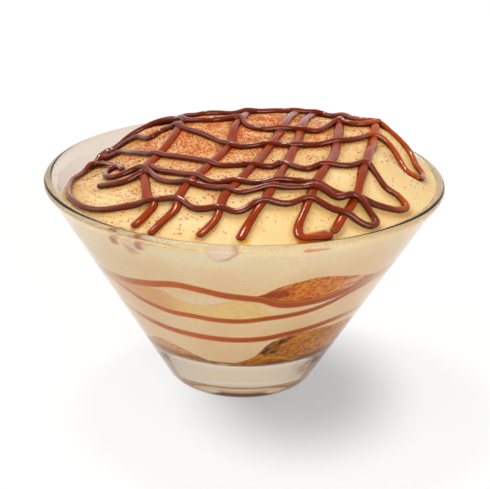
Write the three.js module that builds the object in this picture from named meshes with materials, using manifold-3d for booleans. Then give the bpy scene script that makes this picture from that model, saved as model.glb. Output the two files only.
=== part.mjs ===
// Tiramisu layered in a clear cone-shaped dessert glass, under a domed cream top with a criss-cross of
// thick chocolate drizzle. Millimetres, +Z up, origin at the middle of the foot, front towards -Y.
import * as THREE from 'three';
import { mergeVertices } from 'three/addons/utils/BufferGeometryUtils.js';
import Module from 'manifold-3d';

// Glass
const RIM_RADIUS = 55;
const GLASS_HEIGHT = 59;
const FOOT_RADIUS = 19.6;
const WALL = 2.6;
const RIM_ROUND = 1.1;
const RIM_BEAD = 0.2;
const FLOOR_TOP = 13.7;
const FLOOR_FILLET = 2;
const HEEL_HEIGHT = 2.2;
const HEEL_INSET = 1.6;
const PUNT_RADIUS = 15.6;
const PUNT_TOP_RADIUS = 15.3;
const PUNT_DEPTH = 4.4;
const PUNT_CORNER = 0.5;
const GLASS_SEGMENTS = 48;
const PUNT_STEPS = 2;
const HEEL_STEPS = 4;
const RIM_STEPS = 5;
const FILLET_STEPS = 3;

// Layers
const GAP = 0.3;
const WALL_GAP = 0.5;
const SAUCE_THICKNESS = 2;
const THINNEST = 0.6;
const LAYER_SEGMENTS = 36;
const LAYER_RINGS = [0.62, 1];
const FLOOR_RINGS = [0.9, 0.955, 1];
const TOP_RINGS = [0.24, 0.44, 0.6, 0.72, 0.81, 0.88, 0.94, 1];

// Cream top: it meets the wall a little under the rim, lowest at the back left, where it also dips
const CONTACT_DROP = 2.3;
const CONTACT_TILT = 2.6;
const LOWEST_AT = 160;
const CONTACT_LEAST = 0.3;
const DIP = { at: 148, spread: 20, depth: 2.4 };
const DOME_HEIGHT = 8.5;
const DOME_CENTRE = { x: 8, y: 5 };
const DOME_LEAN = { x: 3.2, y: -0.4 };
const DOME_FLATNESS = 6;
const DOME_SHOULDER = 1.9;
const LUMPS = { height: 0.35, wide: 29, deep: 33, sway: 1.1, swayLength: 57, skew: 107 };

// Drizzle
const DRIZZLE_RADIUS = 1.2;
const DRIZZLE_RISE = 0.65;
const DRIZZLE_SIDES = 5;
const SLANT_STEPS = 1;
const ROW_STEPS = 2;
const LAID_SPACING = 1.5;
const CROSSING_CLIMB = 0.62;
const MOST_LIFT = 1.3;

const SLOPE = (RIM_RADIUS - RIM_BEAD - FOOT_RADIUS) / (GLASS_HEIGHT - RIM_ROUND);
const wasm = await Module();
wasm.setup();

const radians = THREE.MathUtils.degToRad;
const outerRadius = (z) => FOOT_RADIUS + SLOPE * z;
const innerRadius = (z) => outerRadius(z) - WALL;
const foodRadius = (z) => innerRadius(z) - WALL_GAP;
const FOOD_REACH = foodRadius(GLASS_HEIGHT - CONTACT_DROP);

// A finish is a plain colour with its gloss
function finish(color, roughness, opacity = 1) {
  const transparent = opacity < 1;
  return new THREE.MeshStandardMaterial({ color, roughness, metalness: 0, opacity, transparent });
}

const FINISHES = {
  glass: finish(0xe9eef0, 0.03, 0.3),
  sponge: finish(0xc98a3c, 0.9),
  soaked: finish(0x8f5a24, 0.6),
  cream: finish(0xf0dcae, 0.5),
  sauce: finish(0x8a3f14, 0.35),
};

// Points of a curve through a corner, from one side of it to the other
function corner(start, bend, end, steps) {
  const curve = new THREE.QuadraticBezierCurve(
    new THREE.Vector2(...start), new THREE.Vector2(...bend), new THREE.Vector2(...end));
  return curve.getPoints(steps);
}

// Straight cone wall with a rounded rim, a thick clear bottom, a small rounded heel and a hollow foot
function glassGeometry() {
  const rimBase = GLASS_HEIGHT - RIM_ROUND;
  const rimHalf = (RIM_RADIUS - innerRadius(rimBase)) / 2;
  const beadStart = rimBase - 2 * RIM_ROUND;
  const profile = [];
  const puntSlope = (PUNT_RADIUS - PUNT_TOP_RADIUS) / PUNT_DEPTH;
  profile.push(new THREE.Vector2(0, PUNT_DEPTH));
  profile.push(...corner(
    [PUNT_TOP_RADIUS - PUNT_CORNER, PUNT_DEPTH],
    [PUNT_TOP_RADIUS, PUNT_DEPTH],
    [PUNT_TOP_RADIUS + PUNT_CORNER * puntSlope, PUNT_DEPTH - PUNT_CORNER],
    PUNT_STEPS));
  profile.push(new THREE.Vector2(PUNT_RADIUS, 0));
  profile.push(...corner(
    [FOOT_RADIUS - HEEL_INSET, 0], [outerRadius(0), 0], [outerRadius(HEEL_HEIGHT), HEEL_HEIGHT],
    HEEL_STEPS));
  profile.push(new THREE.Vector2(outerRadius(beadStart), beadStart));
  for (let step = 0; step <= RIM_STEPS; step += 1) {
    const angle = (Math.PI * step) / RIM_STEPS;
    profile.push(new THREE.Vector2(
      RIM_RADIUS - rimHalf + rimHalf * Math.cos(angle), rimBase + RIM_ROUND * Math.sin(angle)));
  }
  profile.push(...corner(
    [innerRadius(FLOOR_TOP + FLOOR_FILLET), FLOOR_TOP + FLOOR_FILLET],
    [innerRadius(FLOOR_TOP), FLOOR_TOP],
    [innerRadius(FLOOR_TOP) - FLOOR_FILLET, FLOOR_TOP],
    FILLET_STEPS));
  profile.push(new THREE.Vector2(0, FLOOR_TOP));
  const turned = new THREE.LatheGeometry(profile, GLASS_SEGMENTS);
  turned.rotateX(Math.PI / 2);
  return turned;
}

// Height of a wavy line round the wall, from its crests and troughs as [degrees, height], where -90 is the
// front; the line runs level through each of them
function wave(turns) {
  return (degrees) => {
    const last = turns.length - 1;
    for (let index = 0; index <= last; index += 1) {
      const [from, low] = turns[index];
      const [next, high] = turns[(index + 1) % turns.length];
      const to = index === last ? next + 360 : next;
      const at = degrees < from ? degrees + 360 : degrees;
      if (at >= from && at <= to) {
        return low + (high - low) * (1 - Math.cos((Math.PI * (at - from)) / (to - from))) / 2;
      }
    }
    return turns[0][1];
  };
}

// A surface across the food that follows a wavy line at the wall and settles to a level middle
function sheet(line, middle) {
  return (x, y) => {
    const edge = line(THREE.MathUtils.radToDeg(Math.atan2(y, x)));
    const level = middle ?? edge;
    const share = Math.min(1, Math.hypot(x, y) / foodRadius(edge)) ** 3;
    return level + (edge - level) * share;
  };
}

// The surface, kept at least a little above another one
const above = (lower, surface, distance) => (x, y) => Math.max(surface(x, y), lower(x, y) + distance);

// Food bottom, a parabola that stays clear of the rounded corner of the glass
const CORNER_CLEARANCE = 1.15;
const CORNER_REACH = 1.5 * FLOOR_FILLET;

function floorSurface(x, y) {
  const start = innerRadius(FLOOR_TOP) - FLOOR_FILLET - WALL_GAP;
  const past = THREE.MathUtils.clamp(Math.hypot(x, y) - start, 0, CORNER_REACH);
  return FLOOR_TOP + GAP + (CORNER_CLEARANCE * past * past) / (4 * FLOOR_FILLET);
}

// Lines round the wall, from the bottom up
const baseSpongeTop = sheet(wave([
  [-160, 16.2], [-132, 19.4], [-97, 15.1], [-66, 24.4], [-40, 24.8], [0, 19], [50, 21], [100, 17],
  [150, 19.5],
]), 20);
const lowSauce = sheet(wave([
  [-150, 27.2], [-98, 24.6], [-40, 27.8], [15, 26.2], [70, 27.4], [120, 25.6],
]), 26.8);
const middleSauce = sheet(wave([
  [-155, 37.2], [-112, 32.5], [-90, 32.1], [-30, 38.4], [30, 35], [90, 37], [140, 34.5],
]), 34.5);
const middleSpongeTop = sheet(wave([
  [-150, 38.4], [-112, 37.2], [-92, 38.8], [-66, 35.2], [-30, 39.6], [30, 37.5], [90, 39], [140, 38],
]), 39.5);
const highSauce = sheet(wave([
  [-150, 41], [-110, 43.6], [-72, 37.8], [-30, 42.2], [20, 40.5], [75, 42], [125, 41],
]), 43.5);
const highSpongeTop = sheet(wave([
  [-150, 42.6], [-110, 45.2], [-92, 42.6], [-66, 46.8], [-36, 44.2], [20, 43], [75, 46], [125, 42.6],
]), 50);

// How far out from the middle of the dome a point lies, 0 at its top and 1 at the wall
function domeShare(x, y) {
  const reach = innerRadius(GLASS_HEIGHT);
  const from = { x: x - DOME_CENTRE.x, y: y - DOME_CENTRE.y };
  const room = reach * reach - DOME_CENTRE.x ** 2 - DOME_CENTRE.y ** 2;
  const along = from.x * DOME_CENTRE.x + from.y * DOME_CENTRE.y;
  return (along + Math.sqrt(along * along + room * (from.x ** 2 + from.y ** 2))) / room;
}

// Broad swells and hollows of the spooned cream
const SWELLS = [
  { x: -38, y: 10, spread: 13, height: -3 },
  { x: -20, y: 14, spread: 11, height: 3 },
  { x: 0, y: 12, spread: 11, height: 1.5 },
  { x: 40, y: 12, spread: 9, height: 2 },
  { x: -30, y: 29, spread: 6, height: 3.2 },
  { x: -12, y: 26, spread: 7, height: 1 },
  { x: 46, y: 1, spread: 7, height: -4.5 },
];
const SWELL_MARGIN = 8;

function swells(x, y) {
  const calm = THREE.MathUtils.clamp((innerRadius(GLASS_HEIGHT) - Math.hypot(x, y)) / SWELL_MARGIN, 0, 1);
  const bump = ({ x: cx, y: cy, spread, height }) =>
    height * Math.exp(-((x - cx) ** 2 + (y - cy) ** 2) / (2 * spread * spread));
  const turns = 2 * Math.PI;
  const swayed = x / LUMPS.wide * turns + LUMPS.sway * Math.sin(y / LUMPS.swayLength * turns);
  const skewed = (y / LUMPS.deep + x / LUMPS.skew) * turns;
  const lumps = LUMPS.height * Math.sin(swayed) * Math.cos(skewed);
  return calm * (lumps + SWELLS.reduce((sum, swell) => sum + bump(swell), 0));
}

// Height over the rim, at the wall, of the cream in a direction
function contactAt(angle) {
  const tilted = -CONTACT_DROP - CONTACT_TILT * Math.cos(angle - radians(LOWEST_AT));
  const fromDip = THREE.MathUtils.euclideanModulo(THREE.MathUtils.radToDeg(angle) - DIP.at + 180, 360) - 180;
  return Math.min(-CONTACT_LEAST, tilted) - DIP.depth * Math.exp(-((fromDip / DIP.spread) ** 2) / 2);
}

// Height of the cream top; the lean of the dome is its rise in millimetres at the wall
function mound(x, y) {
  const share = Math.min(1, domeShare(x, y));
  const contact = contactAt(Math.atan2(y, x));
  const crown = DOME_HEIGHT + (DOME_LEAN.x * x + DOME_LEAN.y * y) / FOOD_REACH;
  const fall = Math.max(0, 1 - share ** DOME_FLATNESS) ** DOME_SHOULDER;
  return GLASS_HEIGHT + contact * share * share + crown * fall + swells(x, y);
}

// Distance from the axis at which a surface reaches the food's edge beside the wall
function edgeRadius(surface, angle) {
  const halvings = 30;
  let inside = 0;
  let outside = RIM_RADIUS;
  for (let round = 0; round < halvings; round += 1) {
    const middle = (inside + outside) / 2;
    const z = surface(middle * Math.cos(angle), middle * Math.sin(angle));
    if (middle < foodRadius(z)) inside = middle;
    else outside = middle;
  }
  return inside;
}

// A face of a layer: a surface, moved up or down by a small lift
const face = (surface, lift = 0) => ({ surface, lift });

// A closed layer between two faces: a drum whose flat ends are laid onto them
function layerGeometry(lower, upper, lowerRings, upperRings, segments) {
  const profile = [
    new THREE.Vector2(0, 0),
    ...lowerRings.map((share) => new THREE.Vector2(share, 0)),
    ...[...upperRings].reverse().map((share) => new THREE.Vector2(share, 1)),
    new THREE.Vector2(0, 1),
  ];
  const drum = new THREE.LatheGeometry(profile, segments);
  drum.rotateX(Math.PI / 2);
  splitAlike(drum, profile.length, lowerRings.length + 1, segments);
  const position = drum.getAttribute('position');
  for (let index = 0; index < position.count; index += 1) {
    const { surface, lift } = position.getZ(index) > 0.5 ? upper : lower;
    const share = Math.hypot(position.getX(index), position.getY(index));
    const angle = Math.atan2(position.getY(index), position.getX(index));
    const radius = share * edgeRadius(surface, angle);
    const x = radius * Math.cos(angle);
    const y = radius * Math.sin(angle);
    position.setXYZ(index, x, y, surface(x, y) + lift);
  }
  return drum;
}

// Splits the squares of a drum's upper end along the same diagonals as those of its lower end, so that
// layers that lie on each other have matching faces
function splitAlike(drum, profileLength, firstUpper, segments) {
  for (let segment = 0; segment < segments; segment += 1) {
    for (let ring = firstUpper; ring < profileLength - 1; ring += 1) {
      const here = segment * profileLength + ring;
      const beside = here + profileLength;
      const corners = [here, beside, beside + 1, here, beside + 1, here + 1];
      const start = 6 * (segment * (profileLength - 1) + ring);
      corners.forEach((vertex, offset) => drum.index.setX(start + offset, vertex));
    }
  }
}

const raised = (surface, by) => (x, y) => surface(x, y) + by;

// The layers' faces in order, each pair a small gap apart
const SAUCE_HALF = SAUCE_THICKNESS / 2;
const baseTop = above(floorSurface, baseSpongeTop, THINNEST);
const lowSauceBottom = above(baseTop, raised(lowSauce, -SAUCE_HALF), THINNEST + 2 * GAP);
const lowSauceTop = raised(lowSauceBottom, SAUCE_THICKNESS);
const middleSauceBottom = above(lowSauceTop, raised(middleSauce, -SAUCE_HALF), THINNEST + 2 * GAP);
const middleSauceTop = raised(middleSauceBottom, SAUCE_THICKNESS);
const middleSpongeFace = above(middleSauceTop, middleSpongeTop, THINNEST + GAP);
const highSauceBottom = above(middleSpongeFace, raised(highSauce, -SAUCE_HALF), THINNEST + 2 * GAP);
const highSauceTop = raised(highSauceBottom, SAUCE_THICKNESS);
const highSpongeFace = above(highSauceTop, highSpongeTop, THINNEST + GAP);

const LAYERS = [
  { name: 'sponge_base', look: 'soaked', from: face(floorSurface), to: face(baseTop) },
  { name: 'cream_low', look: 'cream', from: face(baseTop, GAP), to: face(lowSauceBottom, -GAP) },
  { name: 'sauce_low', look: 'sauce', from: face(lowSauceBottom), to: face(lowSauceTop) },
  { name: 'cream_middle', look: 'cream', from: face(lowSauceTop, GAP), to: face(middleSauceBottom, -GAP) },
  { name: 'sauce_middle', look: 'sauce', from: face(middleSauceBottom), to: face(middleSauceTop) },
  { name: 'sponge_middle', look: 'sponge', from: face(middleSauceTop, GAP), to: face(middleSpongeFace) },
  { name: 'cream_high', look: 'cream', from: face(middleSpongeFace, GAP), to: face(highSauceBottom, -GAP) },
  { name: 'sauce_high', look: 'sauce', from: face(highSauceBottom), to: face(highSauceTop) },
  { name: 'sponge_high', look: 'sponge', from: face(highSauceTop, GAP), to: face(highSpongeFace) },
];
// Strokes of the drizzle from above, in the order they were laid: first the slanting ones from back to
// front, then the rows to and fro across them, whose ends turn back near the wall
const SLANTS = [
  [[-14, 38], [-17, 26], [-19, 12.5], [-22.5, 0.5], [-27, -10], [-26, -20.5], [-25, -28.5], [-23, -33],
    [-25, -36], [-28.5, -39.5]],
  [[2, 43], [0, 28], [-3, 10], [-4, -0.5], [-6.5, -9], [-11.5, -20], [-16.5, -31], [-17.5, -37],
    [-21, -40.5], [-24, -44]],
  [[18, 44], [13.5, 28], [10.5, 12], [7.5, -2], [3, -16.5], [-2, -29], [-5, -34.5], [-7, -43],
    [-11.5, -48]],
  [[24, 40], [18.5, 28], [15.5, 10], [14, -2], [10, -21.5], [6, -36], [1, -45.5], [-1, -50]],
  [[31, 38], [27.5, 26], [25.5, 4], [23, -15.5], [19, -28], [16, -38.5], [13.8, -46], [14.5, -48.3],
    [18, -47.5], [23, -46.5]],
  [[38, 28], [36.3, 14], [35, 2], [33, -10], [31, -21], [29.5, -29.5], [27.5, -35.5], [25, -40],
    [22.5, -46]],
];
const ROWS = [
  [[-28, 31], [-19.5, 28.5], [-12, 25.5], [-4, 28], [3, 32.5], [13.5, 32.5], [21, 32], [27, 27],
    [32, 19.5], [36.5, 18], [40.5, 15.5], [45.5, 11.5], [47.5, 5], [49, 0], [47.5, -5], [44.5, -3.5],
    [42.5, 1.5], [40, 5], [35, 5.5], [28.5, -0.5], [21.5, -3], [13.5, -5.5], [6.5, -4.5], [-3.5, -3.5],
    [-8.5, 2.5], [-16.5, 11.5], [-20.5, 17.5], [-24, 18], [-26.5, 16], [-31, 23], [-37, 25],
    [-40.5, 24.5], [-39.5, 22], [-35.5, 19.5], [-31, 9], [-25, -1], [-17.5, -7], [-12.5, -11],
    [-6.5, -17.5], [1.5, -19], [7, -20], [9.5, -18], [16.5, -22.5], [20, -20.5], [27, -20], [32, -16.5],
    [34.5, -20.5], [37, -24], [40.5, -24.5], [42.5, -27], [40.5, -29.5], [33.5, -32], [24.5, -33],
    [18, -30.5], [11, -29.5], [4, -30.3], [-4.5, -28], [-8, -27.5], [-12, -23.5], [-18.5, -18.5],
    [-22.5, -15], [-25, -10]],
  [[38, 17], [33, 13], [29.5, 13], [26, 15], [22.5, 10.5], [19.5, 6.5], [13, 8], [4, 8], [0.5, 10.5],
    [-2, 17.5], [-9, 15], [-16.5, 18.5], [-21, 28], [-28.5, 29.5], [-33, 28.5], [-37.5, 27.5],
    [-41, 25.5], [-45.5, 18.5]],
  [[-33, -7], [-36, 5.5], [-40, 17], [-42.5, 19.5], [-45.5, 17.5], [-47.5, 9.5], [-48, -2],
    [-46.5, -14], [-43, -22], [-39, -26.5], [-33.5, -29.5], [-26.5, -31.5], [-20, -32.5], [-16, -34.5],
    [-12.5, -38.5], [-6, -40], [-1, -41.5], [4, -39], [11, -39], [16.5, -36.5], [23, -38.5],
    [29, -39.8], [32.5, -40], [34, -38], [32.5, -35.5], [28.5, -33.5], [24.5, -35], [18, -32.5],
    [10, -33], [2.5, -34], [-1, -34.5], [-4.5, -32], [-13, -27.5], [-20, -24], [-22.5, -21],
    [-26, -13.5], [-28.5, -10.5], [-35, -10.5], [-37.5, -7], [-37, 0], [-34, 0]],
  [[-26.5, -15], [-31.5, -16.5], [-35.5, -15.5], [-39.5, -13]],
];

// Centre line of a stroke, which lies in the cream and rides over each stroke laid before it
function layStroke(plan, steps, laid) {
  const corners = plan.map(([x, y]) => new THREE.Vector3(x, y, 0));
  const flat = new THREE.CatmullRomCurve3(corners, false, 'centripetal');
  const points = flat.getPoints(steps * (plan.length - 1));
  const reach = 2 * DRIZZLE_RADIUS;
  for (const point of points) {
    const room = foodRadius(mound(point.x, point.y) - DRIZZLE_RADIUS) - DRIZZLE_RADIUS;
    point.multiplyScalar(Math.min(1, room / Math.hypot(point.x, point.y)));
    const rest = mound(point.x, point.y) + DRIZZLE_RISE;
    point.z = rest;
    for (const under of laid) {
      const distance = Math.hypot(point.x - under.x, point.y - under.y);
      if (distance < reach) {
        const climb = CROSSING_CLIMB * reach * Math.sqrt(1 - (distance / reach) ** 2);
        point.z = Math.max(point.z, Math.min(under.z + climb, rest + MOST_LIFT));
      }
    }
  }
  return new THREE.CatmullRomCurve3(points, false, 'centripetal');
}

function strokeGeometry(path) {
  const section = new THREE.Shape();
  for (let side = 0; side < DRIZZLE_SIDES; side += 1) {
    const angle = (2 * Math.PI * side) / DRIZZLE_SIDES;
    const x = DRIZZLE_RADIUS * Math.cos(angle);
    const y = DRIZZLE_RADIUS * Math.sin(angle);
    if (side === 0) section.moveTo(x, y);
    else section.lineTo(x, y);
  }
  return new THREE.ExtrudeGeometry(section, {
    steps: path.points.length - 1,
    extrudePath: path,
    curveSegments: 1,
  });
}

function toSolid(geometry) {
  const bare = geometry.clone();
  bare.deleteAttribute('normal');
  bare.deleteAttribute('uv');
  const merged = mergeVertices(bare, 1e-4);
  return new wasm.Manifold(new wasm.Mesh({
    numProp: 3,
    vertProperties: Float32Array.from(merged.getAttribute('position').array),
    triVerts: Uint32Array.from(merged.index.array),
  }));
}

function toGeometry(solid) {
  const mesh = solid.getMesh();
  const geometry = new THREE.BufferGeometry();
  geometry.setAttribute('position', new THREE.BufferAttribute(Float32Array.from(mesh.vertProperties), 3));
  geometry.setIndex(new THREE.BufferAttribute(Uint32Array.from(mesh.triVerts), 1));
  geometry.computeVertexNormals();
  return geometry;
}

// The cream top and its drizzle are one piece; of what the joining leaves, only the largest solid is kept,
// so that any sealed hollow is filled
function creamTopGeometry() {
  const cream = layerGeometry(face(highSpongeFace, GAP), face(mound), LAYER_RINGS, TOP_RINGS, LAYER_SEGMENTS);
  const laid = [];
  let solid = toSolid(cream);
  const strokes = [
    ...SLANTS.map((plan) => ({ plan, steps: SLANT_STEPS })),
    ...ROWS.map((plan) => ({ plan, steps: ROW_STEPS })),
  ];
  for (const { plan, steps } of strokes) {
    const path = layStroke(plan, steps, laid);
    solid = solid.add(toSolid(strokeGeometry(path)));
    laid.push(...path.getSpacedPoints(Math.round(path.getLength() / LAID_SPACING)));
  }
  const pieces = solid.decompose().sort((one, other) => other.volume() - one.volume());
  return toGeometry(pieces[0]);
}

function add(group, name, geometry, material) {
  const mesh = new THREE.Mesh(geometry, material);
  mesh.name = name;
  group.add(mesh);
}

const tiramisuCup = new THREE.Group();
add(tiramisuCup, 'glass', glassGeometry(), FINISHES.glass);
for (const { name, look, from, to } of LAYERS) {
  const rings = from.surface === floorSurface ? FLOOR_RINGS : LAYER_RINGS;
  add(tiramisuCup, name, layerGeometry(from, to, rings, LAYER_RINGS, LAYER_SEGMENTS), FINISHES[look]);
}
add(tiramisuCup, 'cream_top', creamTopGeometry(), FINISHES.cream);

export default tiramisuCup;
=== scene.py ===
# Looks of a tiramisu in a clear cone-shaped dessert glass. Lengths are in millimetres until a mesh is made.
import math
import random

import bpy
import numpy as np
from mathutils import Matrix, Vector, kdtree, noise


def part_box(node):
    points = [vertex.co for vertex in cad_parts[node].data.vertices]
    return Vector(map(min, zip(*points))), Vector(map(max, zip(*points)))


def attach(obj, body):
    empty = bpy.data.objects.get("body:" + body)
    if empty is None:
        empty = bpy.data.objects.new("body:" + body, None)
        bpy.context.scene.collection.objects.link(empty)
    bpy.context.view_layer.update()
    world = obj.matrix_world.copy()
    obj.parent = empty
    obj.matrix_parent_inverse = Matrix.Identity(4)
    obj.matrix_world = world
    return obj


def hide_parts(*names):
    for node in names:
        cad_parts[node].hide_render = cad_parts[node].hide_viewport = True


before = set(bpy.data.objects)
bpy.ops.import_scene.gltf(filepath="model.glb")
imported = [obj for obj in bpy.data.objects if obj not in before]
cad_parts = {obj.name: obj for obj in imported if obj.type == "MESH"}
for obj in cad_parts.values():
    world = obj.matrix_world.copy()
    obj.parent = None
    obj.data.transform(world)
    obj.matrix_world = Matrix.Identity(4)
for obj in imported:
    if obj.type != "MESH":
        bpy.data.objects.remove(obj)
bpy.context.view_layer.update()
MM = 0.001

# Glass, whose rim and height come from the frame
GLASS_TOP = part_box("glass")[1]
RIM_RADIUS = GLASS_TOP.x / MM
GLASS_HEIGHT = GLASS_TOP.z / MM
FOOT_RADIUS = 19.6
WALL = 2.6
RIM_ROUND = 1.1
RIM_BEAD = 0.2
FLOOR_TOP = 13.7
FLOOR_FILLET = 2.0
HEEL_HEIGHT = 2.2
HEEL_INSET = 1.6
PUNT_RADIUS = 15.6
PUNT_TOP_RADIUS = 15.3
PUNT_DEPTH = 4.4
PUNT_CORNER = 0.5
FOOT_CORNER = 0.4
BEAD_REACH = 4
SLOPE = (RIM_RADIUS - RIM_BEAD - FOOT_RADIUS) / (GLASS_HEIGHT - RIM_ROUND)
GLASS_SEGMENTS = 192
WALL_STEPS = 36
RIM_STEPS = 24
HEEL_STEPS = 10
FILLET_STEPS = 8
PUNT_CORNER_STEPS = 6
FOOT_CORNER_STEPS = 5
FLOOR_SINK = 0.05

# Food, whose side reaches a little into the wall, and the half thicknesses of its sauces
CREAM_REACH = 0.10
SPONGE_REACH = 0.16
SAUCE_REACH = 0.22
TUCK = 0.35
WALL_GAP = 0.5
FOOD_SEGMENTS = 480
HALVINGS = 30
LAYER_RINGS = 10
THIN_ROWS = 8
GOLDEN_ROWS = 16
SPONGE_ROWS = 30
TOP_ROWS = 40
TOP_RINGS = 150
LOW_HALF = 1.0
MIDDLE_HALF = 0.9
HIGH_HALF = 1.15
BASE_LEAST = 0.4
SHEET_LEVELNESS = 3

# Heights to which the surfaces settle in the middle
BASE_LEVEL = 20
LOW_SAUCE_LEVEL = 26.8
MIDDLE_SAUCE_LEVEL = 34.5
MIDDLE_SPONGE_LEVEL = 39.5
HIGH_SAUCE_LEVEL = 43.5
HIGH_SPONGE_LEVEL = 50

# Cream top, as in the solid
CONTACT_DROP = 2.3
CONTACT_TILT = 2.6
LOWEST_AT = 160
CONTACT_LEAST = 0.3
DIP = {"at": 148, "spread": 20, "depth": 2.4}
DOME_HEIGHT = 8.5
DOME_X = 8
DOME_Y = 5
DOME_LEAN = (3.2, -0.4)
DOME_FLATNESS = 6
DOME_SHOULDER = 1.9
LUMPS = {"height": 0.35, "wide": 29, "deep": 33, "sway": 1.1, "sway_length": 57, "skew": 107}
SWELLS = [(-38, 10, 13, -3), (-20, 14, 11, 3), (0, 12, 11, 1.5), (40, 12, 9, 2), (-30, 29, 6, 3.2),
          (-12, 26, 7, 1), (46, 1, 7, -4.5)]
SWELL_MARGIN = 8

# Camera, set by the outline of the glass
CAMERA_DISTANCE = 500
CAMERA_ELEVATION = 21.4
CAMERA_ROLL = 1.28
CAMERA_AIM = (0.56, 0, 38.29)
CAMERA_LENS = 131.53
SENSOR_WIDTH = 36


def colour(red, green, blue):
    """A screen colour from 0 to 255 as linear red, green, blue and alpha."""
    def linear(value):
        share = value / 255
        return share / 12.92 if share <= 0.04045 else ((share + 0.055) / 1.055) ** 2.4
    return (linear(red), linear(green), linear(blue), 1.0)


CREAM = colour(244, 218, 159)
CREAM_WARM = colour(236, 192, 122)
# Cream behind the glass, painted paler than the cream on top as painted light, since less light reaches it
# there
CREAM_WALL_PAINTED_LIGHT = colour(255, 234, 190)
CREAM_WALL_WARM_PAINTED_LIGHT = colour(248, 212, 160)
# A pool of painted light on the front of the cream's side
CREAM_FRONT_PAINTED_LIGHT = colour(255, 239, 200)
STRAND_SHADE = colour(208, 150, 66)
COCOA_STAIN = colour(228, 130, 62)
COCOA_LIGHT = colour(226, 114, 52)
COCOA_DARK = colour(158, 62, 22)
CHOCOLATE = colour(120, 35, 2)
CHOCOLATE_WARM = colour(150, 48, 0)
CHOCOLATE_LOOP = colour(184, 76, 4)
# Painted shade under the drizzle, and a painted highlight along its top
CHOCOLATE_PAINTED_SHADE = colour(66, 16, 0)
CHOCOLATE_PAINTED_HIGHLIGHT = colour(190, 110, 72)
SAUCE = colour(210, 99, 0)
SAUCE_EDGE = colour(236, 160, 76)
SAUCE_DEEP = colour(178, 72, 0)
SPONGE = colour(228, 108, 0)
SPONGE_SPOT = colour(252, 174, 40)
SPONGE_PORE = colour(120, 44, 2)
GOLDEN = colour(252, 222, 150)
TAN = colour(240, 190, 126)
SOAKED = colour(200, 108, 0)
SOAKED_DARK = colour(92, 32, 2)
SOAKED_LIT = colour(240, 166, 32)
# Painted light and shade of air in hollows between the cream and the glass, with a darker outline
AIR_GAP_PAINTED_LIGHT = colour(254, 230, 214)
AIR_GAP_PAINTED_SHADE = colour(240, 212, 198)
AIR_GAP_PAINTED_OUTLINE = colour(196, 124, 76)
BLOCK_ORANGE = colour(226, 104, 0)
BLOCK_RED = colour(150, 44, 6)
# Painted shadow in a dark pocket of the soaked sponge
POCKET_PAINTED_SHADOW = colour(56, 22, 8)
LEAF = colour(250, 232, 200)
FOOD_FOOT = colour(255, 226, 186)

# Tints of the glass, as linear red, green, blue and alpha; besides the clear and specular ones, painted
# reflections of the food
CLEAR = (1.0, 0.985, 0.97, 1)
BASE_PAINTED_REFLECTION = (0.76, 0.61, 0.45, 1)
FOOT_PAINTED_REFLECTION = (0.94, 0.84, 0.68, 1)
# Painted shade: the back of the rim is darker than the front
BACK_RIM_REFLECTION_AND_SHADE = (0.80, 0.68, 0.58, 1)
FRONT_RIM_PAINTED_REFLECTION = (0.95, 0.91, 0.80, 1)
CRESCENT_PAINTED_REFLECTION = (0.07, 0.007, 0.0002, 1)
MIRRORED_PAINTED_REFLECTION = (0.13, 0.04, 0.004, 1)
GLASS_SPECULAR_TINT = (0.2, 0.15, 0.1, 1)


# Shapes of the glass and the food

def outer_radius(z):
    return FOOT_RADIUS + SLOPE * z


def inner_radius(z):
    return outer_radius(z) - WALL


FOOD_REACH = inner_radius(GLASS_HEIGHT - CONTACT_DROP) - WALL_GAP


def smooth_line(turns):
    """Height at an angle in degrees, smoothly through (degrees, height) points round the whole wall."""
    angles, heights = np.array(turns, float).T
    angles = np.concatenate([[angles[-1] - 360], angles, [angles[0] + 360, angles[1] + 360]])
    heights = np.concatenate([[heights[-1]], heights, [heights[0], heights[1]]])
    steps = np.diff(angles)
    rises = np.diff(heights) / steps
    slopes = np.zeros(len(angles))
    slopes[1:-1] = (rises[:-1] * steps[1:] + rises[1:] * steps[:-1]) / (steps[1:] + steps[:-1])
    slopes[0] = slopes[-3]
    slopes[-1] = slopes[2]

    def line(degrees):
        at = (np.asarray(degrees, float) - angles[1]) % 360 + angles[1]
        index = np.clip(np.searchsorted(angles, at, side="right") - 1, 0, len(steps) - 1)
        step = steps[index]
        share = (at - angles[index]) / step
        low = heights[index]
        high = heights[index + 1]
        return (low * (1 + 2 * share) * (1 - share) ** 2 + high * share ** 2 * (3 - 2 * share)
                + slopes[index] * step * share * (1 - share) ** 2
                - slopes[index + 1] * step * share ** 2 * (1 - share))
    return line


def sheet(line, middle):
    """A surface that follows a line at the wall and settles to a level middle."""
    def surface(x, y):
        edge = line(np.degrees(np.arctan2(y, x)))
        share = np.minimum(1, np.hypot(x, y) / (inner_radius(edge) - WALL_GAP)) ** SHEET_LEVELNESS
        return middle + (edge - middle) * share
    return surface


def raised(surface, by):
    return lambda x, y: surface(x, y) + by


def above(lower, surface, distance):
    return lambda x, y: np.maximum(surface(x, y), lower(x, y) + distance)


def floor_surface(x, y):
    start = inner_radius(FLOOR_TOP) - FLOOR_FILLET
    past = np.clip(np.hypot(x, y) - start, 0, 1.5 * FLOOR_FILLET)
    return FLOOR_TOP - FLOOR_SINK + past * past / (4 * FLOOR_FILLET)


def dome_share(x, y):
    reach = inner_radius(GLASS_HEIGHT)
    from_x = x - DOME_X
    from_y = y - DOME_Y
    room = reach ** 2 - DOME_X ** 2 - DOME_Y ** 2
    along = from_x * DOME_X + from_y * DOME_Y
    return (along + np.sqrt(along * along + room * (from_x ** 2 + from_y ** 2))) / room


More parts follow.
